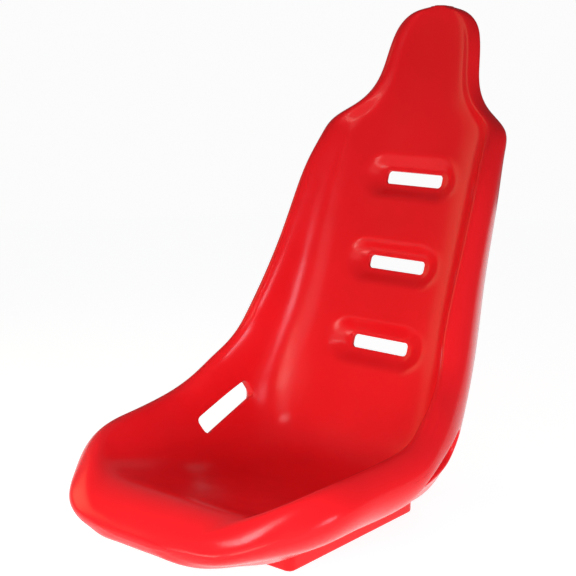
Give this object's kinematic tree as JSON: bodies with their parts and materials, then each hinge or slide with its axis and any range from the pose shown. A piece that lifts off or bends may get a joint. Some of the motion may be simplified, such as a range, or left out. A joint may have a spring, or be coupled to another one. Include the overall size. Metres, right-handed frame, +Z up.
{
  "type": "racing bucket seat",
  "caption": "High-back bucket racing seat, a hollow double-walled moulded plastic shell with rolled bolsters, harness slots up the back and a lap belt slot in each hip.",
  "frame": {"origin": "middle of the four-insert bolt pattern on the underside of the base block, at the level of that underside", "axes": "+Z up, -Y towards the front of the seat, +X towards the occupant's left"},
  "size_m": [0.564, 0.8148, 0.863],
  "materials": {
    "seat_shell": "glossy moulded polyethylene, coloured through",
    "insert_brass": "turned brass",
    "plug_plastic": "soft black plastic"
  },
  "bodies": {
    "root": {"front_skin": "seat_shell", "rear_skin": "seat_shell", "mount_inserts": "insert_brass", "vent_plug": "plug_plastic"}
  },
  "joints": []
}
